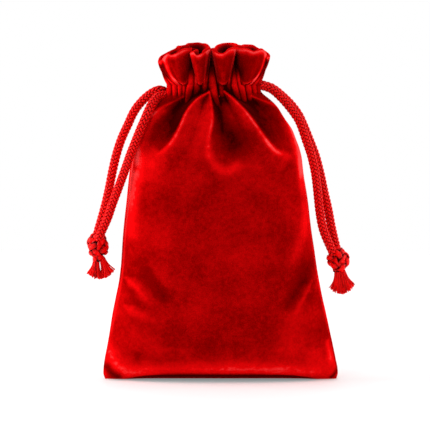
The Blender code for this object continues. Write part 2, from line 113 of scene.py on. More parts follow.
world = bpy.data.worlds.new("studio")
world.use_nodes = True
sky = world.node_tree
background = sky.nodes["Background"]
background.inputs["Color"].default_value = (1.0, 1.0, 1.0, 1.0)
seen = sky.nodes.new("ShaderNodeLightPath")
strength = sky.nodes.new("ShaderNodeMapRange")
strength.inputs["To Min"].default_value = SURROUNDINGS_LIGHT
strength.inputs["To Max"].default_value = SURROUNDINGS_SEEN
sky.links.new(seen.outputs["Is Camera Ray"], strength.inputs["Value"])
sky.links.new(strength.outputs["Result"], background.inputs["Strength"])
scene.world = world
for name, place, size, power in LAMPS:
    lamp_data = bpy.data.lights.new(name, "AREA")
    lamp_data.size = size
    lamp_data.energy = power
    lamp = bpy.data.objects.new(name, lamp_data)
    lamp.location = place
    lamp.rotation_mode = "QUATERNION"
    lamp.rotation_quaternion = (target - Vector(place)).to_track_quat("-Z", "Y")
    scene.collection.objects.link(lamp)


# Cords: two round braids of sixteen yarns, 4 mm thick and limp. Each runs once round the neck inside
# the channel, and both its ends come out of the slit in one side seam and hang down to the knot.
CORD_DIAMETER = 4.0
YARNS_EACH_WAY = 8
BRAID_PITCH = 13.5
# A yarn's distance from the cord's middle, and how far and how squarely it weaves in and out
YARN_AXIS = 1.29
YARN_WEAVE = 0.33
YARN_WEAVE_FLATNESS = 1.35
YARN_HALF_WIDTH = 0.54
YARN_HALF_THICKNESS = 0.38
BRAID_CORE = 0.95
# How far out the core counts for the yarns' painted shade of the dips: fully shaded
CORE_HEIGHT = 0.5
BRAID_STEP = 0.34
HIDDEN_STEP = 0.7
CURVE_STEPS = 24
# No cord starts out this way, so it gives a first direction square to any of them
ASKEW = (0.31, 0.87, 0.39)
# The channel: the neck's middle, half its straight run, the radius of its bends and its two lanes
NECK_MIDDLE = -2.8
NECK_STRAIGHT = 9.6
CHANNEL_BEND = 7.2
LOWER_LANE = 122.1
UPPER_LANE = 126.7
# The cord's way in through the slit: how far past the straight run, and across
SLIT_ROUTE = ((9.8, -3.2), (7.4, -3.9))
LEFT_FRONT_STRAND = ((-26.1, -5.3, 122.2), (-28.55, -9, 120), (-30.22, -11.4, 117), (-31.85, -12.5, 113.2),
                     (-33.55, -12.2, 109.3), (-35.85, -10.9, 103.6), (-38.35, -8.7, 97.2),
                     (-40.75, -6.5, 90.4), (-43.35, -5, 83.3), (-45.95, -4, 76.4), (-48.25, -3.2, 69.8),
                     (-51.16, -2.4, 63.25))
LEFT_BACK_STRAND = ((-25.4, 2.4, 124.4), (-29.4, 2.5, 123), (-33.4, 2.5, 119.6), (-36.74, 2.5, 115.3),
                    (-39.29, 2.4, 110), (-42.35, 2.4, 103.2), (-44.55, 2.3, 96.4), (-46.15, 2.3, 89.6),
                    (-47.55, 2.3, 82.6), (-48.95, 2.2, 76.4), (-50.65, 2.2, 70), (-52.58, 2.2, 63.25))
RIGHT_FRONT_STRAND = ((18.6, -2.7, 126.3), (22, -2.7, 124.9), (25.6, -2.7, 121.7), (29, -2.7, 117.9),
                      (31.8, -2.7, 114.2), (33.88, -2.7, 110.6), (36.42, -2.6, 103.4), (38.7, -2.5, 96.6),
                      (40.4, -2.4, 89), (41.4, -2.4, 81), (42.3, -2.3, 73), (43.81, -2.3, 65.2),
                      (47.1, -2.2, 57.15))
RIGHT_BACK_STRAND = ((18.6, 2.3, 126.3), (22.2, 2.3, 125), (26.4, 2.3, 121.7), (30.2, 2.3, 117.9),
                     (33.16, 2.3, 113.9), (35.16, 2.3, 109.8), (37.95, 2.3, 103), (40.55, 2.3, 96.2),
                     (42.55, 2.3, 88.8), (44.25, 2.3, 81), (46.1, 2.3, 73), (47.6, 2.3, 65.2),
                     (49.5, 2.2, 57.1))
# Where each strand ends inside its knot
KNOT_ENTRIES = {("left", "front"): (-51.9, -1.7, 60.2), ("left", "back"): (-52.9, 1.4, 60.2),
                ("right", "front"): (48.6, -1.6, 54.2), ("right", "back"): (50.3, 1.4, 54.2)}


def smooth_route(points, step):
    """Points about a step apart on the smooth curve through the given ones, and their distance along it."""
    points = np.array(points, float)
    ends = np.vstack((2 * points[0] - points[1], points, 2 * points[-1] - points[-2]))
    t = np.linspace(0, 1, CURVE_STEPS, endpoint=False)[:, None]
    spans = [0.5 * (2 * a + (b - before) * t + (2 * before - 5 * a + 4 * b - after) * t**2
                    + (3 * a - before - 3 * b + after) * t**3)
             for before, a, b, after in zip(ends, ends[1:], ends[2:], ends[3:])]
    fine = np.vstack((*spans, points[-1:]))
    lengths = np.concatenate(([0.0], np.cumsum(np.linalg.norm(np.diff(fine, axis=0), axis=1))))
    places = np.linspace(0, lengths[-1], max(round(lengths[-1] / step), 2) + 1)
    return np.column_stack([np.interp(places, lengths, fine[:, axis]) for axis in range(3)]), places


def cross_directions(centres):
    """Two directions square to the route at each point, carried along it without twisting."""
    tangents = np.gradient(centres, axis=0)
    tangents /= np.linalg.norm(tangents, axis=1)[:, None]
    first = np.cross(tangents[0], ASKEW)
    firsts = []
    for tangent in tangents:
        first = first - tangent * (first @ tangent)
        first /= np.linalg.norm(first)
        firsts.append(first)
    firsts = np.array(firsts)
    return firsts, np.cross(tangents, firsts)


def tubes(name, lines, radius, resolution, capped=True):
    """A mesh of round tubes along the lines, each a run of points in millimetres."""
    curve = bpy.data.curves.new(name, "CURVE")
    curve.dimensions = "3D"
    curve.bevel_depth = radius * MM
    curve.bevel_resolution = resolution
    curve.use_fill_caps = capped
    for line in lines:
        spline = curve.splines.new("POLY")
        spline.points.add(len(line) - 1)
        spline.points.foreach_set("co", np.column_stack((line * MM, np.ones(len(line)))).ravel())
    holder = bpy.data.objects.new(name, curve)
    scene.collection.objects.link(holder)
    bpy.context.view_layer.update()
    mesh = bpy.data.meshes.new_from_object(holder.evaluated_get(bpy.context.evaluated_depsgraph_get()))
    bpy.data.objects.remove(holder)
    bpy.data.curves.remove(curve)
    return mesh


def make_braid(name, points, material, step=BRAID_STEP, diameter=CORD_DIAMETER, yarns=YARNS_EACH_WAY,
               pitch=BRAID_PITCH):
    """A braid along the points: the yarns wind both ways, over two and under two, round a core."""
    centres, along = smooth_route(points, step)
    right, up = cross_directions(centres)
    size = diameter / CORD_DIAMETER
    plump = math.sqrt(YARNS_EACH_WAY / yarns)
    lines = []
    outward = []
    for way in (1, -1):
        for yarn in range(yarns):
            angle = 2 * math.pi * (yarn / yarns + way * along / pitch)
            column = yarns * angle / math.pi
            weave = np.clip(YARN_WEAVE_FLATNESS * np.cos(math.pi / 2 * (column - 0.5)), -1, 1) * way
            out = np.cos(angle)[:, None] * right + np.sin(angle)[:, None] * up
            from_middle = size * (YARN_AXIS + YARN_WEAVE * weave * plump)
            lines.append(centres + from_middle[:, None] * out)
            outward.append(out)
    mesh = tubes(name, lines, YARN_HALF_THICKNESS * size * plump, 1, capped=False)

    # Each yarn is flattened: its points move apart sideways, square to its run and to the way out
    place = np.empty(len(mesh.vertices) * 3, np.float32)
    mesh.vertices.foreach_get("co", place)
    around = len(mesh.vertices) // (len(lines) * len(along))
    place = place.reshape(len(lines), len(along), around, 3) / MM
    axis = np.array(lines)[:, :, None, :]
    out = np.array(outward)[:, :, None, :]
    tangent = np.gradient(np.array(lines), axis=1)
    tangent /= np.linalg.norm(tangent, axis=2)[:, :, None]
    sideways = np.cross(tangent, np.array(outward))[:, :, None, :]
    spread = ((place - axis) * sideways).sum(3)[..., None]
    place += spread * sideways * (YARN_HALF_WIDTH * plump / YARN_HALF_THICKNESS - 1)
    mesh.vertices.foreach_set("co", (place * MM).astype(np.float32).ravel())

    # Painted shade: each point's distance from the cord's middle is kept as an attribute that darkens the
    # dips
    outermost = size * (YARN_AXIS + (YARN_WEAVE + YARN_HALF_THICKNESS) * plump)
    height = np.linalg.norm(place - centres[None, :, None, :], axis=3) / outermost
    core = tubes(name + "_core", [centres], BRAID_CORE * size, 2)
    height = np.concatenate((height.ravel(), np.full(len(core.vertices), CORE_HEIGHT)))
    bm = bmesh.new()
    bm.from_mesh(mesh)
    bmesh.ops.holes_fill(bm, edges=[e for e in bm.edges if e.is_boundary], sides=0)
    bm.from_mesh(core)
    bm.to_mesh(mesh)
    bm.free()
    bpy.data.meshes.remove(core)
    mesh.attributes.new("height", "FLOAT", "POINT").data.foreach_set("value", height.astype(np.float32))
    mesh.materials.clear()
    mesh.shade_smooth()
    return new_object(name, mesh, material)


def add_noise(nodes, links, scale, detail):
    """Noise on Object coordinates, in lumps of about a metre over the scale."""
    place = nodes.new("ShaderNodeTexCoord")
    noise = nodes.new("ShaderNodeTexNoise")
    noise.inputs["Scale"].default_value = scale
    noise.inputs["Detail"].default_value = detail
    links.new(place.outputs["Object"], noise.inputs["Vector"])
    return noise.outputs["Fac"]


def add_weighted(nodes, links, value, weight, base):
    """The value times its weight, added to the base, which is a number or another node's output."""
    added = nodes.new("ShaderNodeMath")
    added.operation = "MULTIPLY_ADD"
    added.inputs[1].default_value = weight
    links.new(value, added.inputs[0])
    if isinstance(base, float):
        added.inputs[2].default_value = base
    else:
        links.new(base, added.inputs[2])
    return added.outputs["Value"]


def add_bump(nodes, links, shader, height, strength, distance):
    """A bump that follows the height, up to a distance in metres."""
    bump = nodes.new("ShaderNodeBump")
    bump.inputs["Strength"].default_value = strength
    bump.inputs["Distance"].default_value = distance
    links.new(height, bump.inputs["Height"])
    links.new(bump.outputs["Normal"], shader.inputs["Normal"])


def yarn_material(name, shaded_colour, lit, sheen):
    """Glossy filament yarn: painted shade where it dips under its neighbours, with fine streaks and fuzz."""
    material, nodes, links, shader = new_material(name)
    height = nodes.new("ShaderNodeAttribute")
    height.attribute_name = "height"
    dip = nodes.new("ShaderNodeMapRange")
    dip.inputs["From Min"].default_value = 0.76
    dip.inputs["From Max"].default_value = 0.99
    streaks = add_noise(nodes, links, 2600.0, 3.0)
    shade = nodes.new("ShaderNodeMath")
    shade.operation = "MULTIPLY"
    shade.use_clamp = True
    mix = nodes.new("ShaderNodeMix")
    mix.data_type = "RGBA"
    mix.inputs["A"].default_value = (*shaded_colour, 1.0)
    mix.inputs["B"].default_value = (*lit, 1.0)
    links.new(height.outputs["Fac"], dip.inputs["Value"])
    links.new(dip.outputs["Result"], shade.inputs[0])
    links.new(add_weighted(nodes, links, streaks, 0.7, 0.62), shade.inputs[1])
    links.new(shade.outputs["Value"], mix.inputs["Factor"])
    links.new(mix.outputs["Result"], shader.inputs["Base Color"])
    add_bump(nodes, links, shader, streaks, 0.5, 0.00012)
    shader.inputs["Roughness"].default_value = 0.42
    shader.inputs["Specular IOR Level"].default_value = 0.10
    shader.inputs["Sheen Weight"].default_value = sheen
    shader.inputs["Sheen Roughness"].default_value = 0.4
    shader.inputs["Sheen Tint"].default_value = (1.0, 0.02, 0.02, 1.0)
    return material


braid_yarn = yarn_material("braid_yarn", (0.03, 0.0, 0.0), (1.0, 0.0, 0.0), 0.12)


def channel_route(side, lane):
    """The cord's middle line inside the channel, from the front strand's slit round to the back one's."""
    def on_bend(end, degrees):
        turn = math.radians(degrees)
        return (end * (NECK_STRAIGHT + CHANNEL_BEND * math.cos(turn)), -CHANNEL_BEND * math.sin(turn), lane)

    way_out = [(side * (NECK_STRAIGHT + past), across, lane) for past, across in SLIT_ROUTE]
    way_out += [on_bend(side, degrees) for degrees in (45.0, 67.5, 90.0)]
    way_out += [(side * NECK_STRAIGHT * share, -CHANNEL_BEND, lane) for share in (1 / 3, -1 / 3)]
    far_end = [on_bend(-side, 90 - 22.5 * step) for step in range(9)]
    way_back = [(x, -y, z) for x, y, z in reversed(way_out)]
    return [(x + NECK_MIDDLE, y, z) for x, y, z in way_out + far_end + way_back]


cord_strands = {}
for side, lane, word, front_strand, back_strand in (
        (-1, LOWER_LANE, "left", LEFT_FRONT_STRAND, LEFT_BACK_STRAND),
        (1, UPPER_LANE, "right", RIGHT_FRONT_STRAND, RIGHT_BACK_STRAND)):
    hidden = channel_route(side, lane)
    loop = make_braid(f"{word}_cord_in_channel", hidden[1:-1], braid_yarn, HIDDEN_STEP)
    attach(loop, "root")
    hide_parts(f"{word}_cord")
    free_strands = (("front", front_strand, hidden[1::-1]), ("back", back_strand, hidden[-2:]))
    for place, strand, slit_points in free_strands:
        strand = [*slit_points, *strand, KNOT_ENTRIES[word, place]]
        strand_piece = make_braid(f"{word}_cord_{place}_strand", strand, braid_yarn)
        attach(strand_piece, "root")
        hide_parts(f"{word}_cord")
        cord_strands[word, place] = strand_piece, strand


# Knots: each cord's two ends are tied in one overhand knot, pulled hard until it is a ball of 10 mm.
# The braid bulges there, so it has fewer and plumper yarns. A short stub leads out below the knot.
KNOT_CORD = 4.5
KNOT_YARNS = 4
KNOT_PITCH = 9.0
STUB_CORD = 4.4
STUB_LENGTHS = {"left": 6.4, "right": 4.8}
KNOT_LOOP = 0.88
KNOT_DEPTH = 1.6
KNOT_POINTS = 60
KNOT_MIDDLES = {"left": (-52.5, 0.0, 57.9), "right": (50.4, 0.0, 51.9)}
# How far each knot is turned about its length and about the view, in degrees, and how tall it is pulled
KNOT_TURNS = {"left": (30.0, -12.0, 1.25), "right": (-34.0, 84.0, 1.2)}

for word, centre in KNOT_MIDDLES.items():
    yaw, roll, taller = KNOT_TURNS[word]
    yaw = math.radians(yaw)
    roll = math.radians(roll)
    t = np.linspace(0, 2 * math.pi, KNOT_POINTS + 1) + roll
    reach = KNOT_LOOP * (2 + np.cos(3 * (t - roll)))
    x = reach * np.cos(2 * t - roll)
    z = taller * reach * np.sin(2 * t - roll)
    y = KNOT_DEPTH * np.sin(3 * (t - roll))
    route = np.column_stack((x * math.cos(yaw) - y * math.sin(yaw), x * math.sin(yaw) + y * math.cos(yaw), z))
    knot = make_braid(f"{word}_cord_knot", route + np.array(centre), braid_yarn, diameter=KNOT_CORD,
                      yarns=KNOT_YARNS, pitch=KNOT_PITCH)
    below = [(centre[0], 0.0, centre[2] - STUB_LENGTHS[word] * share) for share in (0.3, 0.65, 1.0)]
    stub = make_braid(f"{word}_cord_below_knot", below, braid_yarn, diameter=STUB_CORD, yarns=KNOT_YARNS,
                      pitch=KNOT_PITCH)
    for piece in (knot, stub):
        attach(piece, "root")
        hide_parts(f"{word}_knot")


# Frayed ends: below the knot both ends of the cord are left unbraided, two tufts of loose yarn that
# spread apart and are cut a little unevenly.
TUFT_YARNS = 150
LOOSE_YARN_RADIUS = 0.19
LOOSE_YARN_POINTS = 10
# A tuft's radius at its top and its foot, its middle's distance from the knot's there, and its yarns' waves
TUFT_TOP = 1.2
TUFT_FOOT = 3.5
TUFT_APART = 0.6
YARN_WAVE = 0.25
# The yarns' lengths as shares of the tuft's, and how much shorter they are cut at the outside
CUT_SHARES = (0.9, 1.02)
CUT_ROUNDING = 0.30
CUT_HALF_WIDTH = 6.0
# How light the yarns are at random, the painted shade in the parting of the tufts, and the parting's width
YARN_LIGHTNESS = (0.92, 1.16)
PARTING_SHADE = 0.22
PARTING_WIDTH = 0.9
PARTING_POINT = 6
FRINGE_SEED = 7
# How far below the knot's middle the yarns start, their length, how far apart the tufts lean, their tilt
FRINGES = {"left": (4.8, 9.6, 2.0, 6.0), "right": (4.0, 10.8, 1.4, 8.5)}

fringe_yarn = yarn_material("fringe_yarn", (0.16, 0.0, 0.0), (1.0, 0.0, 0.0), 0.9)
draw = np.random.default_rng(FRINGE_SEED)
for word, centre in KNOT_MIDDLES.items():
    start, length, lean, tilt = FRINGES[word]
    tilt = math.radians(tilt)
    share = np.linspace(0, 1, LOOSE_YARN_POINTS)
    lines = []
    parting = []
    for tuft in (-1, 1):
        for _ in range(TUFT_YARNS):
            turn = draw.uniform(0, 2 * math.pi)
            out = math.sqrt(draw.uniform(0, 1))
            phase = draw.uniform(0, 2 * math.pi, 2)
            radius = out * (TUFT_TOP + (TUFT_FOOT - TUFT_TOP) * share**3)
            x = (tuft * (TUFT_APART + lean * share**0.6) + radius * math.cos(turn)
                 + YARN_WAVE * np.sin(share * 5 + phase[0]) * share)
            y = radius * math.sin(turn) + YARN_WAVE * np.sin(share * 4 + phase[1]) * share
            drop = length * draw.uniform(*CUT_SHARES) * (1 - CUT_ROUNDING * (x[-1] / CUT_HALF_WIDTH) ** 2)
            z = -start - drop * share
            parting.append(math.exp(-(x[PARTING_POINT] / PARTING_WIDTH) ** 2))
            lines.append(np.column_stack((x * math.cos(tilt) - z * math.sin(tilt), y,
                                          z * math.cos(tilt) + x * math.sin(tilt))) + np.array(centre))
    mesh = tubes(f"{word}_frayed_ends", lines, LOOSE_YARN_RADIUS, 0)
    # Each yarn's random lightness, with painted shade in the parting, is kept as its height attribute
    heights = draw.uniform(*YARN_LIGHTNESS, len(lines)) - PARTING_SHADE * np.array(parting)
    heights = np.repeat(heights, len(mesh.vertices) // len(lines))
    mesh.attributes.new("height", "FLOAT", "POINT").data.foreach_set("value", heights.astype(np.float32))
    mesh.materials.clear()
    mesh.shade_smooth()
    fringe = new_object(f"{word}_frayed_ends", mesh, fringe_yarn)
    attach(fringe, "root")
    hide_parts(f"{word}_fringe")
    for place in ("front", "back"):
        strand_piece, strand = cord_strands[word, place]


# Panels: front and back are the same cut of velvet, sewn together at the sides and the bottom with the
# nap outwards, the top folded in and sewn down as the cord's channel. Drawn shut, the neck is gathered
# in narrow pleats, the belly hangs from it in long folds and the ruffle above opens in lobes.
CLOTH = 1.5
HEM = 1.9
SEAM = 0.01
SEAM_GROOVE = 0.9
# How far the front's left edge is tucked in, which bares a strip of the back
FRONT_TUCK = 0.6
# Half the depth of the belly and the neck, the height of the round base, and how square each section is:
# 2 is an ellipse, and more is squarer
BELLY_DEPTH = 19.0
NECK_DEPTH = 9.4
BASE_ROUND = 15.0
BASE_ROUND_POWER = 2.7
BODY_POWER = 2.35
NECK_POWER = 3.2
# The pouch stands on its two corners: how far out they are, how high the seam arches up between them, and
# how high the painted shade on the underside reaches there
FOOT_PLACE = 41.0
BOTTOM_ARCH = 0.5
UNDERSIDE_ARCH = 3.1
# Where the ruffle starts, and the throat through the neck: the heights of its rows, where its middle is,
# half its width and half its depth
RUFFLE_START = 127.2
THROAT_HEIGHTS = (RUFFLE_START, 124.0, 118.8)
THROAT_MIDDLE = -3.0
THROAT_HALF_WIDTH = 13.2
THROAT_DEPTH = 3.6
# How finely a panel is divided across, up the ruffle and round the rim
COLUMNS = 300
RUFFLE_ROWS = 41
RIM_TURNS = (30, 60, 90, 120, 150)
# A fold opens from a narrow, low top over this share of its route, the painted highlight on its crest
# widens, and a high power lets folds that meet merge without adding up
FOLD_OPENS = 0.25
FOLD_TOP_WIDTH = 0.5
FOLD_TOP_RISE = 0.45
FOLD_MERGE = 4
CREST_GLOW = 0.24
CREST_WIDTH = 0.30
CREST_WIDENS = 1.05
# Painted pocket shade beside a fold: how far from the crest it sets in, and how it opens down the route
POCKET_EDGE = 1.2
POCKET_OPENS = 0.5
POCKET_TOP_WIDTH = 0.4
# Painted highlights: along the sides, on the neck's pleats, on the rim, on the lobes' edges and tips, and on
# each crest that stands out of the smoothed cloth, with painted shade in the pleats' valleys and hollows
SIDE_GLOW = 0.26
SIDE_GLOW_PLACE = 0.4
SIDE_GLOW_WIDTH = 0.5
PLEAT_GLOW = 0.5
PLEAT_GLOW_RISE = 1.3
PLEAT_GLOW_LEVEL = 0.62
RIM_GLOW = 0.50
RIM_GLOW_REACH = 0.10
LOBE_EDGE_WIDTH = 0.26
LOBE_TIP_GLOW = 0.16
CREST_LIGHT = 0.10
CREST_HEIGHT = 0.10
SMOOTHING_PASSES = 8
# Painted shade: at the back's left edge, under the bottom, inside, and on the ruffle between the lobes, on
# them and on their side in the shade
BACK_EDGE_SHADE = 0.10
BACK_EDGE_SHADE_WIDTH = 1.4
SEAM_SHADE = 0.9
INSIDE_SHADE = 0.38
BETWEEN_LOBES_SHADE = 0.36
LOBE_SHADE = 0.16
LOBE_DARK_SIDE = 0.24
# How far a lobe bulges at its lower tip and at its middle, and how an outer lobe's outline bows
LOBE_TIP_BULGE = 3.0
LOBE_BULGE = 1.6
LOBE_BOW = 0.5
LOBE_BOW_WIDTH = 1.6
# The velvet: the nap's level, its patches, mottling and pile as a noise's (scale, detail, weight), and its
# colours from the painted shade of the deepest fold to the pinkish painted highlight of the brightest crest
NAP_LEVEL = 0.09
NAP_NOISES = ((60.0, 5.0, 0.40), (520.0, 4.0, 0.22), (1400.0, 2.0, 0.16))
VELVET_TONES = ((0.1, (0.035, 0.0, 0.0)), (0.42, (0.25, 0.0, 0.0)), (0.80, (0.82, 0.002, 0.003)),
                (1.0, (1.0, 0.06, 0.06)))
# Height, left edge and right edge of the pouch
EDGES = ((0, -49.7, 49.9), (2, -50.4, 50.5), (4.3, -50.4, 50.5), (7.8, -50, 49.8), (14.6, -48.7, 48.4),
         (21.5, -47.5, 46.9), (28.4, -46.4, 45.4), (35.3, -45, 43.8), (42.2, -43.6, 42.4),
         (49.1, -42.7, 41.2), (56, -42.2, 40.2), (62.9, -41.7, 39.1), (69.8, -41, 38.2), (76.7, -40.2, 37.4),
         (83.5, -39.5, 36.3), (90.4, -38.7, 34.9), (97.3, -37.4, 33.4), (100.8, -36.5, 32.1),
         (104.2, -35.3, 30.5), (108.5, -33.6, 28.4), (112, -31.4, 25.9), (115.4, -28.6, 23.3),
         (118.9, -25.2, 20.5), (122.3, -23.2, 18), (125.7, -22.6, 16.8), (128.5, -22.4, 16.5))
# Height and how much of the way from the belly's depth to the neck's the front has gone
HOLLOW = ((0.0, 0.8), (12.4, 0.62), (24.9, 0.42), (41.9, 0.18), (59.7, 0.04), (77.1, 0.0), (89.6, 0.04),
          (99.5, 0.13), (107.6, 0.28), (114.4, 0.52), (118.8, 0.86), (121.0, 1.0), (128.0, 1.0))


def read_curve(points, at, column=1):
    """The smooth curve through the points' first and another column, read at many places."""
    table = np.array(points)
    places, values = table[:, 0], table[:, column]
    slopes = np.gradient(values, places)
    at = np.clip(at, places[0], places[-1])
    i = np.clip(np.searchsorted(places, at, side="right") - 1, 0, len(places) - 2)
    run = places[i + 1] - places[i]
    t = (at - places[i]) / run
    return ((2 * t**3 - 3 * t**2 + 1) * values[i] + (t**3 - 2 * t**2 + t) * run * slopes[i]
            + (3 * t**2 - 2 * t**3) * values[i + 1] + (t**3 - t**2) * run * slopes[i + 1])


def eased(share):
    """The share held between 0 and 1, with a slow start and end."""
    share = np.clip(share, 0, 1)
    return share * share * (3 - 2 * share)


def rising(value, low, high):
    """0 below low, 1 above high, and eased between them."""
    return eased((value - low) / (high - low))


def fading(value, low, high):
    """1 below low, 0 above high, and eased between them."""
    return eased((high - value) / (high - low))


def blend(first, second, share):
    """The value that lies that share of the way from the first to the second."""
    return first + (second - first) * share


def place_on_route(route, x, z):
    """Distance from a route, which side of it, and the share of its length, for every point."""
    points, _ = smooth_route([(px, pz, 0.0) for px, pz in route], 2.0)
    points = points[:, :2]
    lengths = np.linalg.norm(np.diff(points, axis=0), axis=1)
    nearest = np.full(x.shape, 1e9)
    side = np.zeros(x.shape)
    share = np.zeros(x.shape)
    gone = 0.0
    for a, b, length in zip(points, points[1:], lengths):
        dx, dz = (b - a) / length
        along = np.clip((x - a[0]) * dx + (z - a[1]) * dz, 0, length)
        off_x = x - a[0] - along * dx
        off_z = z - a[1] - along * dz
        distance = np.hypot(off_x, off_z)
        closer = distance < nearest
        nearest = np.where(closer, distance, nearest)
        side = np.where(closer, off_x * -dz + off_z * dx, side)
        share = np.where(closer, (gone + along) / lengths.sum(), share)
        gone += length
    return nearest, side, share


# A fold: its crest's route from the neck down as (x, height), its rise at the top and the foot, its width
# to the left and right of the crest at the top, its width at the foot, its crest's painted highlight,
# and the painted shade in the pocket beside it: on the left (-1) or the right (1), how dark and how wide
FRONT_FOLDS = (
    (((-15.4, 122.4), (-21.2, 119.1), (-25.6, 115.8), (-29.6, 112.4), (-32.4, 107.0), (-34.4, 101.0),
      (-35.2, 92.0)), (3.8, 0.3), (6.4, 3.2), 8.0, 2.0, (1, 0.20, 3.0)),
    (((-4.6, 124.6), (-9.6, 121.6), (-13.8, 116.5), (-17.0, 109.5), (-20.0, 104.2), (-23.9, 100.0),
      (-28.0, 97.5)), (4.8, 0.4), (1.4, 4.4), 9.0, 1.5, (-1, 0.58, 9.0)),
    (((-4.6, 124.8), (-3.8, 118.5), (-3.5, 113.0), (-4.9, 106.0), (-5.4, 101.0)), (4.8, 0.4), (4.4, 1.2),
     8.0, 1.5, (1, 0.24, 3.0)),
    (((1.6, 124.8), (5.0, 121.8), (10.0, 116.6), (13.4, 112.0), (17.6, 106.0), (21.4, 101.2), (26.0, 97.6)),
     (4.8, 0.4), (3.2, 1.4), 9.0, 1.7, (1, 0.50, 7.5)),
    (((12.4, 122.8), (18.6, 119.6), (24.0, 115.6), (27.6, 111.0), (30.2, 104.6), (32.6, 97.6),
      (34.0, 86.0)), (3.6, 0.3), (3.2, 6.0), 8.0, 2.2, (-1, 0.20, 3.0)),
    (((-40.0, 44.6), (-36.0, 41.5), (-31.0, 35.5)), (0.5, 0.1), (3.0, 4.4), 6.0, 0.6, (-1, 0.10, 3.0)),
    (((-40.6, 32.6), (-34.0, 30.0), (-26.0, 26.5)), (0.4, 0.1), (3.0, 4.4), 6.0, 0.1, (1, 0.04, 3.0)),
    (((38.6, 43.6), (35.0, 36.5), (30.5, 28.0)), (0.5, 0.1), (4.4, 3.0), 6.0, 0.6, (1, 0.10, 3.0)),
)
BACK_FOLDS = (
    (((-14.0, 123.0), (-19.5, 118.5), (-27.5, 111.5), (-31.4, 102.0), (-33.0, 93.0)), (3.2, 0.3), (4.6, 2.8),
     8.0, 0.9, (1, 0.30, 5.0)),
    (((-8.6, 124.2), (-10.7, 116.0), (-15.0, 107.0), (-18.5, 99.0), (-20.0, 90.0)), (4.6, 0.4), (1.6, 4.0),
     8.0, 1.0, (-1, 0.20, 3.0)),
    (((-1.4, 124.8), (-0.4, 116.0), (1.6, 108.0), (1.2, 98.0), (-2.0, 88.0)), (4.8, 0.4), (3.2, 1.6), 8.0,
     1.0, (1, 0.30, 5.0)),
    (((5.6, 124.4), (8.5, 116.5), (12.8, 109.0), (16.7, 101.0), (18.5, 92.0)), (4.6, 0.4), (3.6, 1.6), 8.0,
     1.0, (1, 0.32, 5.5)),
    (((11.8, 123.0), (17.2, 118.0), (24.0, 110.8), (28.0, 102.5), (29.4, 94.0)), (3.2, 0.3), (2.8, 4.6), 8.0,
     0.9, (-1, 0.10, 3.0)),
    (((-39.4, 46.4), (-34.0, 41.5), (-29.0, 36.0)), (0.6, 0.1), (3.0, 4.4), 6.0, 0.4, (1, 0.04, 3.0)),
    (((39.6, 38.4), (36.0, 33.0), (29.5, 29.0)), (0.6, 0.1), (4.4, 3.0), 6.0, 0.4, (-1, 0.04, 3.0)),
)
# Where the velvet is painted darker or lighter along routes, mostly painted shade and painted highlights of
# its folds, pockets, edges and bottom: a route, its half width at both ends, how much, how far it fades at
# the ends
FRONT_SHADES = (
    (((-2.2, 121.0), (-0.8, 116.0), (1.8, 110.5), (5.0, 104.5)), (1.8, 5.4), -0.34, 0.0),
    (((-5.2, 101.5), (-4.4, 97.0), (-1.5, 93.4), (2.5, 91.6), (7.0, 94.0)), (1.5, 2.2), 0.26, 0.0),
    (((-9.0, 116.0), (-11.0, 103.0)), (3.4, 6.0), 0.14, 0.0),
    (((-33.4, 50.5), (-29.0, 44.5), (-24.0, 38.0)), (4.5, 3.0), -0.20, 0.0),
    (((37.4, 50.0), (34.0, 43.0), (29.0, 34.0)), (3.4, 3.0), -0.18, 0.0),
    (((-36.6, 101.0), (-37.6, 82.0), (-38.4, 60.0)), (2.0, 3.4), 0.34, 1.0),
    (((33.4, 101.0), (35.2, 82.0), (36.4, 60.0)), (1.3, 1.6), 0.18, 1.0),
    (((21.0, 117.4), (26.2, 111.6), (28.9, 105.0), (31.2, 98.0), (33.0, 90.0), (34.4, 80.0)), (0.8, 1.2),
     0.30, 1.0),
    (((18.6, 104.4), (23.0, 99.8), (28.6, 97.2)), (0.8, 1.3), 0.22, 0.0),
    (((-34.0, 11.0), (0.0, 13.0), (34.0, 11.0)), (4.0, 4.0), -0.17, 0.0),
    (((-40.0, 4.4), (-25.0, 5.6), (-10.0, 6.4), (15.0, 6.2), (42.0, 4.2)), (2.0, 1.9), 0.17, 0.0),
    (((-39.0, 30.0), (-30.0, 14.0)), (6.0, 7.0), 0.05, 0.0),
    (((-35.0, 98.0), (-27.0, 93.0)), (4.0, 6.0), 0.12, 0.0),
    (((36.0, 30.0), (30.0, 14.0)), (6.0, 7.0), 0.09, 0.0),
    (((-14.0, 121.6), (-23.0, 116.4), (-29.6, 109.8), (-32.8, 102.0), (-34.2, 93.0), (-35.2, 82.0)),
     (0.9, 2.2), 0.24, 1.0),
    (((37.2, 74.0), (33.6, 60.0), (28.6, 49.5)), (1.5, 2.6), 0.15, 1.0),
    (((-38.5, 46.0), (-30.0, 52.0), (-22.0, 42.0)), (1.6, 2.2), 0.09, 1.0),
    (((-48.8, 6.0), (-46.8, 3.2), (-44.0, 1.8)), (1.7, 1.8), -0.42, 0.0),
    (((-48.0, 15.0), (-46.2, 9.5), (-42.6, 5.2)), (1.3, 1.4), 0.20, 0.0),
    (((-49.6, 14.0), (-50.6, 6.0)), (0.6, 0.7), -0.35, 0.0),
    (((-41.0, 13.0), (-36.0, 12.0)), (2.6, 3.0), -0.14, 0.0),
    (((45.8, 17.0), (47.4, 9.0)), (1.0, 1.2), 0.26, 0.0),
    (((47.6, 22.0), (49.4, 12.0), (50.4, 5.0), (47.6, 1.2)), (0.6, 0.8), -0.40, 0.0),
)
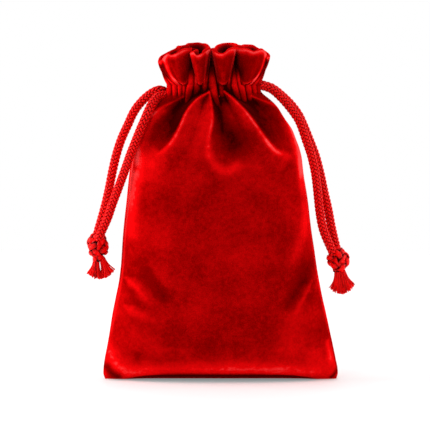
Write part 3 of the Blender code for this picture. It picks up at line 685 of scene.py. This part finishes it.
BACK_SHADES = (
    (((-36.8, 100.0), (-38.0, 82.0), (-38.6, 60.0)), (1.5, 1.9), 0.30, 1.0),
    (((33.4, 100.0), (35.2, 82.0), (36.4, 60.0)), (1.3, 1.5), 0.26, 1.0),
    (((-34.0, 11.0), (0.0, 13.0), (34.0, 11.0)), (4.0, 4.0), -0.14, 0.0),
    (((-42.0, 4.6), (-10.0, 6.4), (15.0, 6.2), (42.0, 4.2)), (1.6, 1.6), 0.12, 0.0),
    (((22.0, 58.0), (10.0, 44.0)), (8.0, 9.0), 0.12, 0.0),
)
# A pleat of the neck: its route downwards as (x, height), its half width and its rise
FRONT_PLEATS = (
    (((-21.2, 128.0), (-21.6, 118.0)), 1.3, 1.2), (((-19.0, 128.0), (-18.8, 118.0)), 1.3, 1.5),
    (((-17.0, 128.0), (-16.7, 119.0)), 1.2, 1.6), (((-15.2, 128.0), (-15.4, 119.5)), 1.1, 1.4),
    (((-12.6, 128.0), (-13.6, 122.0), (-13.4, 117.0)), 1.7, 2.1),
    (((-10.0, 128.0), (-10.2, 121.0)), 1.9, 1.2), (((-6.6, 128.0), (-6.4, 122.0)), 1.6, 1.3),
    (((-3.6, 128.0), (-2.6, 122.0), (-1.4, 117.0)), 1.9, 2.4),
    (((0.6, 128.0), (1.0, 122.0)), 1.5, 0.9), (((3.4, 128.0), (3.8, 122.0)), 1.5, 0.8),
    (((5.6, 128.0), (7.0, 123.0), (8.4, 118.0)), 1.6, 2.0), (((8.4, 128.0), (10.2, 118.5)), 1.6, 1.9),
    (((11.2, 128.0), (12.6, 119.5)), 1.6, 1.5), (((13.6, 128.0), (14.6, 119.5)), 1.3, 1.2),
    (((15.4, 128.0), (16.2, 118.5)), 1.1, 0.9),
)
BACK_PLEATS = tuple(
    (((-20.5 + 2.9 * i, 128.0), (-21.0 + 3.0 * i, 118.0 + (i * 5 % 3))), 1.6, 1.3 + 0.3 * (i % 3))
    for i in range(13))
# The ruffle's rim, from the left seam to the right: x at the neck, then x, y and height of the rim
FRONT_RIM = (
    (-22.5, -25.6, 0.0, 137.3), (-19.5, -25.5, -1.4, 137.0), (-17.2, -25.0, -3.2, 137.6),
    (-16.4, -24.0, -5.2, 139.4), (-15.9, -22.2, -7.4, 141.0), (-15.3, -20.6, -8.4, 140.4),
    (-14.9, -18.8, -8.8, 141.1), (-14.4, -16.9, -8.2, 142.1), (-13.9, -14.7, -6.4, 142.8),
    (-13.4, -12.5, -3.4, 142.6), (-11.8, -11.3, -1.4, 142.2), (-10.0, -11.8, -4.6, 141.6),
    (-9.4, -12.9, -8.3, 141.2), (-9.0, -11.5, -10.7, 142.0), (-8.5, -10.0, -11.6, 140.6),
    (-8.1, -8.4, -11.6, 141.0), (-7.6, -6.7, -10.8, 142.1), (-7.1, -5.1, -8.4, 142.7),
    (-4.7, -4.2, -3.4, 142.4), (-1.0, -3.6, -6.0, 142.4), (0.2, -2.4, -9.8, 141.8),
    (0.9, -0.4, -11.3, 141.2), (1.6, 1.6, -11.8, 141.5), (2.2, 3.6, -10.8, 142.9),
    (2.7, 5.5, -9.0, 143.2), (3.2, 6.3, -6.3, 142.8), (5.7, 5.3, -2.2, 142.6),
    (8.2, 6.5, -2.8, 142.6), (8.8, 8.5, -5.4, 142.8), (9.3, 11.3, -8.0, 142.8),
    (9.9, 14.1, -9.0, 142.0), (10.3, 16.0, -8.5, 142.5), (10.8, 17.9, -6.2, 142.6),
    (11.4, 19.1, -3.4, 141.2), (13.3, 19.7, -1.6, 139.8), (16.5, 19.8, 0.0, 139.0),
)
BACK_RIM = (
    (-22.5, -25.6, 0.0, 137.3), (-19.4, -26.6, 2.6, 137.3), (-17.6, -25.4, 5.4, 139.0),
    (-16.6, -22.4, 8.2, 140.7), (-15.7, -19.5, 9.6, 142.0), (-14.9, -17.7, 8.8, 143.0),
    (-14.0, -16.4, 5.6, 143.2), (-13.2, -15.5, 2.6, 143.5), (-12.2, -14.7, 6.2, 144.0),
    (-11.0, -12.4, 9.2, 144.3), (-9.4, -9.4, 10.7, 144.5), (-8.0, -7.3, 10.2, 144.1),
    (-7.0, -5.9, 8.6, 144.0), (-5.8, -4.7, 4.8, 143.5), (-4.2, -3.5, 1.2, 142.0),
    (-2.6, -2.2, 4.8, 143.4), (-1.0, 0.4, 9.2, 144.2), (0.6, 3.2, 10.8, 144.4),
    (2.2, 5.4, 9.4, 144.2), (3.6, 7.2, 6.0, 143.9), (5.0, 8.0, 2.6, 143.6),
    (6.2, 9.1, 5.6, 143.8), (7.6, 11.4, 8.4, 143.8), (9.2, 14.1, 9.8, 143.4),
    (10.4, 16.2, 9.0, 142.2), (11.6, 18.8, 6.8, 141.2), (13.2, 20.9, 3.2, 139.8),
    (16.5, 19.8, 0.0, 139.0),
)
# A lobe of the ruffle: its left and right border at the neck, the painted highlight on those two edges,
# and its side with painted shade: left (-1), right (1) or neither
FRONT_LOBES = ((-16.4, -13.4, 0.66, 0.05, 1), (-10.0, -7.1, 0.56, 0.60, 0), (-1.0, 3.2, 0.42, 0.62, 0),
               (8.2, 11.4, 0.05, 0.66, -1))
BACK_LOBES = ((-17.4, -14.4, 0.40, 0.20, 1), (-12.0, -6.4, 0.35, 0.35, 0), (-2.4, 3.4, 0.35, 0.35, 0),
              (6.4, 11.4, 0.20, 0.40, -1))
# What differs between the panels. Both are worked out as a front, and side -1 mirrors the back
FRONT = {"folds": FRONT_FOLDS, "shades": FRONT_SHADES, "pleats": FRONT_PLEATS, "rim": FRONT_RIM,
         "lobes": FRONT_LOBES, "tuck": FRONT_TUCK, "edge_shade": 0.0, "side": 1.0}
BACK = {"folds": BACK_FOLDS, "shades": BACK_SHADES, "pleats": BACK_PLEATS, "rim": BACK_RIM,
        "lobes": BACK_LOBES, "tuck": 0.0, "edge_shade": BACK_EDGE_SHADE, "side": -1.0}


def fold_field(folds, shades, x, z):
    """How far the folds stand out, and their painted highlights and painted shade."""
    total = np.zeros(x.shape)
    shine = np.zeros(x.shape)
    dark = np.zeros(x.shape)
    for route, (top, foot), (left, right), foot_width, glow, (pocket_side, pocket, pocket_width) in folds:
        distance, side, share = place_on_route(route, x, z)
        lean = np.clip(side / np.maximum(distance, 0.2), -1, 1)
        opened = eased(share / FOLD_OPENS)
        width = blend(blend(left, right, (1 + lean) / 2), foot_width, share)
        width = width * blend(FOLD_TOP_WIDTH, 1, opened)
        profile = 0.5 + 0.5 * np.cos(math.pi * np.minimum(distance / width, 1))
        total += (blend(top, foot, share**1.3) * blend(FOLD_TOP_RISE, 1, opened) * profile) ** FOLD_MERGE
        shine = np.maximum(shine, CREST_GLOW * glow * (0.4 + 0.9 * share) * (1 - share**4)
                           * np.exp(-(distance / (CREST_WIDTH + CREST_WIDENS * share)) ** 2))
        reach = pocket_width * blend(POCKET_TOP_WIDTH, 1, eased(share / POCKET_OPENS))
        dark = np.maximum(dark, pocket * np.maximum(pocket_side * lean, 0) * eased(distance / POCKET_EDGE)
                          * np.exp(-(distance / reach) ** 2) * (1 - share**3))
    shine = shine - dark
    for route, (top, foot), strength, fade in shades:
        distance, _, share = place_on_route(route, x, z)
        faded = strength * (1 - fade * np.abs(2 * share - 1) ** 3)
        shine = shine + faded * np.exp(-(distance / blend(top, foot, share)) ** 2)
    return total ** (1 / FOLD_MERGE), shine


def pleat_field(pleats, x, z):
    """How far the neck's narrow pleats stand out: round ridges with sharp valleys between them."""
    height = np.zeros(x.shape)
    for route, half_width, rise in pleats:
        distance, _, share = place_on_route(route, x, z)
        ridge = np.clip(1 - (distance / half_width) ** 2, 0, 1) ** 0.75
        height = np.maximum(height, rise * ridge * eased((1.12 - share) / 0.5))
    return height


def bottom_line(x, arch):
    """Height of a line that arches up between the two feet."""
    return arch * (1 - np.minimum(np.abs(x) / FOOT_PLACE, 1) ** 5)


def stand(u, z, half_width, middle, depth, power, height):
    """Points of a front panel's surface at share u of its half width, moved out by height."""
    across = (1 - np.minimum(np.abs(u), 1) ** power) ** (1 / power)
    sideways = np.sign(u) * np.abs(u) ** (power - 1) / half_width
    forward = across ** (power - 1) / depth
    length = np.hypot(sideways, forward) + 1e-9
    x = middle + half_width * u + height * sideways / length
    y = -depth * across - height * forward / length
    return np.stack((x, np.minimum(y, -SEAM), z + 0 * x), axis=-1)


def standing_proud(surface, passes):
    """How far each point stands out of the cloth around it: above 0 on a crest, below 0 in a valley."""
    smooth = surface
    for _ in range(passes):
        padded = np.pad(smooth, ((1, 1), (1, 1), (0, 0)), mode="edge")
        smooth = (padded[:-2, 1:-1] + padded[2:, 1:-1] + padded[1:-1, :-2] + padded[1:-1, 2:]) / 4
    normal = np.cross(np.gradient(surface, axis=1), np.gradient(surface, axis=0))
    normal /= np.linalg.norm(normal, axis=-1)[..., None] + 1e-9
    return ((surface - smooth) * normal).sum(-1)


# Places across a panel, closer together near its seams, where the forms fade and a groove runs
EVEN = np.linspace(-1, 1, COLUMNS + 1)[None, :]
ACROSS = 1.5 * EVEN - 0.5 * EVEN**3
SEAM_FADE = eased((1 - np.abs(EVEN)) / 0.10)
GROOVE = np.where(np.abs(EVEN) > 0.9999, SEAM_GROOVE, 0.0)
# Rows of the round base, as shares of its height and its depth, and of the body and the inside
BASE_SHARES = np.array((0.0, 0.006, 0.02, 0.04, 0.06, 0.08, 0.10, 0.125, 0.15, 0.19, 0.26, 0.38, 0.52, 0.68,
                        0.85))[:, None]
BASE_DEPTHS = (1 - (1 - BASE_SHARES) ** BASE_ROUND_POWER) ** (1 / BASE_ROUND_POWER)
BODY_HEIGHTS = np.concatenate((np.arange(BASE_ROUND, 96.0, 1.2), np.arange(96.0, 117.0, 0.6),
                               np.arange(117.0, RUFFLE_START, 0.3)))[:, None]
INSIDE_HEIGHTS = np.array((114.0, 108.0, 98.0, 84.0, 68.0, 52.0, 36.0, 24.0, BASE_ROUND))[:, None]
SEAM_HEIGHTS = bottom_line(ACROSS * EDGES[0][2], BOTTOM_ARCH)


def body_surface(panel, z, share, inset=0.0, detail=1.0):
    """The bag below the ruffle at heights z, with a share of its depth: points, and the painted light and
    shade.
    """
    left, right = read_curve(EDGES, z, 1), read_curve(EDGES, z, 2)
    left = left + panel["tuck"] * rising(z, 12, 27) * fading(z, 92, 104)
    half, middle = (right - left) / 2, (right + left) / 2
    depth = np.maximum((blend(BELLY_DEPTH, NECK_DEPTH, read_curve(HOLLOW, z)) - inset) * share, SEAM)
    power = blend(BODY_POWER, NECK_POWER, rising(z, 99.5, 120.5))
    x = middle + half * ACROSS
    fold, shine = fold_field(panel["folds"], panel["shades"], x, z)
    from_edge = half * (1 - np.abs(ACROSS))
    # Painted highlight along the sides, painted shade at the back's left edge and in the pleats' valleys
    shine = shine + (SIDE_GLOW * np.exp(-((from_edge - SIDE_GLOW_PLACE) / SIDE_GLOW_WIDTH) ** 2)
                     * fading(z, 108, 118) * rising(z, 14, 30))
    shine = shine - (panel["edge_shade"] * np.exp(-(from_edge / BACK_EDGE_SHADE_WIDTH) ** 2) * (ACROSS < 0)
                     * rising(z, 12, 27))
    pleat = pleat_field(panel["pleats"], x, z)
    height = np.maximum(fold, pleat) * SEAM_FADE * detail * share
    bared = 1 - eased((fold - pleat) / 0.6)
    shine = shine + (PLEAT_GLOW * (np.minimum(pleat / PLEAT_GLOW_RISE, 1) - PLEAT_GLOW_LEVEL)
                     * rising(z, 118, 121) * bared)
    return stand(ACROSS, z, half - inset - GROOVE * detail, middle, depth, power, height), shine


def ruffle_surface(panel, neck, neck_shine):
    """The ruffle, from the neck's last row up to the rim: points, and the painted light and shade."""
    left_edge, right_edge = read_curve(EDGES, RUFFLE_START, 1), read_curve(EDGES, RUFFLE_START, 2)
    neck_x = blend(left_edge, right_edge, (ACROSS[0] + 1) / 2)
    rim_x, rim_y, rim_z = (read_curve(panel["rim"], neck_x, column) for column in (1, 2, 3))
    rim_y = -np.abs(rim_y)
    r = np.linspace(0, 1, RUFFLE_ROWS + 1)[1:, None]
    outward = blend(r, 1 - (1 - r) ** 2, np.abs(ACROSS) ** 3)
    cover = np.zeros_like(neck_x)
    edges = np.zeros_like(neck_x)
    tip = np.ones_like(neck_x)
    shaded = np.zeros_like(neck_x)
    for left, right, left_shine, right_shine, dark_side in panel["lobes"]:
        if dark_side:
            outer = left if dark_side > 0 else right
            bowed = LOBE_BOW * np.exp(-((neck_x - outer) / LOBE_BOW_WIDTH) ** 2)
            outward = blend(outward, 1 - (1 - r) ** 3, bowed)
        q = (2 * neck_x - left - right) / (right - left)
        cover = np.maximum(cover, np.sqrt(np.clip(1 - q**2, 0, 1)))
        tip = np.where(np.abs(q) < 1, 0.12 * np.abs(q) ** 2.5, tip)
        shaded = np.where(np.abs(q) < 1, eased((dark_side * q + 0.6) / 1.4) if dark_side else 0.0, shaded)
        for border, strength in ((left, left_shine), (right, right_shine)):
            edges = np.maximum(edges, strength * np.exp(-((neck_x - border) / LOBE_EDGE_WIDTH) ** 2))
    forward = blend(eased((r - 0.1) / 0.7), 1 - (1 - r) ** 3, cover)
    bulge = cover * (LOBE_TIP_BULGE * eased((r - tip) / 0.10) * (1 - r) ** 2
                     + LOBE_BULGE * np.sin(math.pi * r))
    ruffle = np.stack((blend(neck[:, 0], rim_x, outward),
                       np.minimum(blend(neck[:, 1], rim_y, forward) - bulge * SEAM_FADE, -SEAM),
                       blend(neck[:, 2], rim_z - HEM / 2, r)), axis=-1)
    # Painted shade between and on the lobes, painted highlights on the rim and the lobes' edges and tips
    darkened = blend(eased((r - 0.15) / 0.35), eased(r / 0.15), cover)
    between = BETWEEN_LOBES_SHADE * (1 - 0.6 * np.abs(ACROSS) ** 6)
    on_lobe = LOBE_SHADE + LOBE_DARK_SIDE * shaded * (1 - r)
    shine = (RIM_GLOW * np.exp(-((1 - r) / RIM_GLOW_REACH) ** 2) + edges * eased(r / 0.1)
             + LOBE_TIP_GLOW * eased(2 * cover) * np.exp(-((r - 0.05 - tip) / 0.035) ** 2)
             - darkened * blend(between, on_lobe, cover**2))
    return ruffle, shine + neck_shine * (1 - eased(r / 0.5)) * (1 - cover)


def lining_surface(panel, ruffle):
    """Over the rim, down the ruffle's inside, through the throat and down the inside of the bag: points."""
    up = np.gradient(ruffle, axis=0)
    inward = np.cross(up, np.gradient(ruffle, axis=1))
    inward /= np.linalg.norm(inward, axis=-1)[..., None] + 1e-9
    up_at_rim = up[-1] / np.linalg.norm(up[-1], axis=-1)[:, None]
    turn = np.radians(RIM_TURNS)[:, None, None]
    over = ruffle[-1] + HEM / 2 * (1 - np.cos(turn)) * inward[-1] + HEM / 2 * np.sin(turn) * up_at_rim
    inner = (ruffle + HEM * inward)[::-3][:12]
    inner[..., 1] = np.minimum(inner[..., 1], -SEAM)
    half_width = np.full_like(ACROSS, THROAT_HALF_WIDTH)
    throat = [stand(ACROSS, np.full_like(ACROSS, z), half_width, THROAT_MIDDLE, THROAT_DEPTH, NECK_POWER, 0.0)
              for z in THROAT_HEIGHTS]
    body, _ = body_surface(panel, INSIDE_HEIGHTS + 0 * ACROSS, 1.0, 2 * CLOTH, 0.0)
    base_z = np.maximum(blend(SEAM_HEIGHTS + 2 * CLOTH, BASE_ROUND, BASE_SHARES[::-2]), CLOTH)
    base, _ = body_surface(panel, base_z, BASE_DEPTHS[::-2], 2 * CLOTH, 0.0)
    return np.concatenate((over, inner, *throat, body, base))


def panel_surface(panel):
    """The outside, over the rim and down the inside of one panel: rows of points, and the painted light and
    shade.
    """
    z = np.maximum(blend(SEAM_HEIGHTS, BASE_ROUND, BASE_SHARES), 0)
    under_z = bottom_line(ACROSS * EDGES[0][2], UNDERSIDE_ARCH)
    base, base_shine = body_surface(panel, z, BASE_DEPTHS)
    # Painted shade on the underside, up to the arch of the shade line
    base_shine -= (SEAM_SHADE * (1 - eased((z - under_z + 0.5) / 1.2))
                   * eased((0.90 - np.abs(ACROSS)) / 0.12))
    body, body_shine = body_surface(panel, BODY_HEIGHTS + 0 * ACROSS, 1.0)
    ruffle, ruffle_shine = ruffle_surface(panel, body[-1], body_shine[-1])
    lining = lining_surface(panel, ruffle)
    # Painted shade inside the bag, fading out over the rim
    lining_shine = np.full(lining.shape[:2], -INSIDE_SHADE)
    lit_rows = np.arange(len(RIM_TURNS) + 4)
    lining_shine[lit_rows] *= eased((lit_rows - 3) / 6)[:, None]
    surface = np.concatenate((base, body, ruffle, lining))
    shine = np.concatenate((base_shine, body_shine, ruffle_shine, lining_shine))
    # Painted highlights on crests and painted shade in hollows, from how far the cloth stands proud
    proud = standing_proud(surface, SMOOTHING_PASSES)
    shine = shine + CREST_LIGHT * np.clip(proud / CREST_HEIGHT, -2, 1.6)
    return surface * np.array((1.0, panel["side"], 1.0)), shine


def make_panel(name, node, panel, material):
    """One panel as a closed mesh: a grid on the panel's surface, its end rows joined, its sides filled."""
    surface, shine = panel_surface(panel)
    rows, columns = surface.shape[:2]
    bm = bmesh.new()
    bmesh.ops.create_grid(bm, x_segments=columns - 1, y_segments=rows - 1, size=1.0)
    bm.verts.ensure_lookup_table()
    order = np.array([v.co[:2] for v in bm.verts])
    column = np.rint((order[:, 0] + 1) / 2 * (columns - 1)).astype(int)
    row = np.rint((order[:, 1] + 1) / 2 * (rows - 1)).astype(int)
    # Painted highlights and painted shade go to the mesh as an attribute
    layer = bm.verts.layers.float.new("painted_shading")
    for vert, i, j in zip(bm.verts, row, column):
        vert.co = surface[i, j] * MM
        vert[layer] = shine[i, j]
    first = {vert for vert, i in zip(bm.verts, row) if i == 0}
    last = {vert for vert, i in zip(bm.verts, row) if i == rows - 1}
    ends = [e for e in bm.edges if e.is_boundary and (set(e.verts) <= first or set(e.verts) <= last)]
    bmesh.ops.bridge_loops(bm, edges=ends)
    bmesh.ops.holes_fill(bm, edges=[e for e in bm.edges if e.is_boundary], sides=0)
    bmesh.ops.triangulate(bm, faces=[f for f in bm.faces if len(f.verts) > 4])
    bmesh.ops.recalc_face_normals(bm, faces=bm.faces)
    mesh = bpy.data.meshes.new(name)
    bm.to_mesh(mesh)
    bm.free()
    mesh.shade_smooth()
    cloth = new_object(name, mesh, material)
    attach(cloth, "root")
    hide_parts(node)


velvet, nodes, links, shader = new_material("red_velvet")
# The velvet's colour: random mottling and pile from noise, plus the panels' painted highlights and shade
painted_shading = nodes.new("ShaderNodeAttribute")
painted_shading.attribute_name = "painted_shading"
level = NAP_LEVEL
for scale, detail, weight in NAP_NOISES:
    noise = add_noise(nodes, links, scale, detail)
    level = add_weighted(nodes, links, noise, weight, level)
# The last noise is the pile's, and the bump follows it
add_bump(nodes, links, shader, noise, 0.25, 0.0003)
total = nodes.new("ShaderNodeMath")
total.operation = "ADD"
links.new(level, total.inputs[0])
links.new(painted_shading.outputs["Fac"], total.inputs[1])
ramp = nodes.new("ShaderNodeValToRGB")
tones = ramp.color_ramp.elements
tones[0].position = VELVET_TONES[0][0]
tones[1].position = VELVET_TONES[-1][0]
for tone_place, _ in VELVET_TONES[1:-1]:
    tones.new(tone_place)
for tone, (_, colour) in zip(tones, VELVET_TONES):
    tone.color = (*colour, 1.0)
links.new(total.outputs["Value"], ramp.inputs["Fac"])
links.new(ramp.outputs["Color"], shader.inputs["Base Color"])
shader.inputs["Roughness"].default_value = 0.9
shader.inputs["Specular IOR Level"].default_value = 0.0
shader.inputs["Sheen Weight"].default_value = 1.0
shader.inputs["Sheen Roughness"].default_value = 0.3
shader.inputs["Sheen Tint"].default_value = (1.0, 0.02, 0.02, 1.0)

make_panel("front_velvet_panel", "front_panel", FRONT, velvet)
make_panel("back_velvet_panel", "back_panel", BACK, velvet)
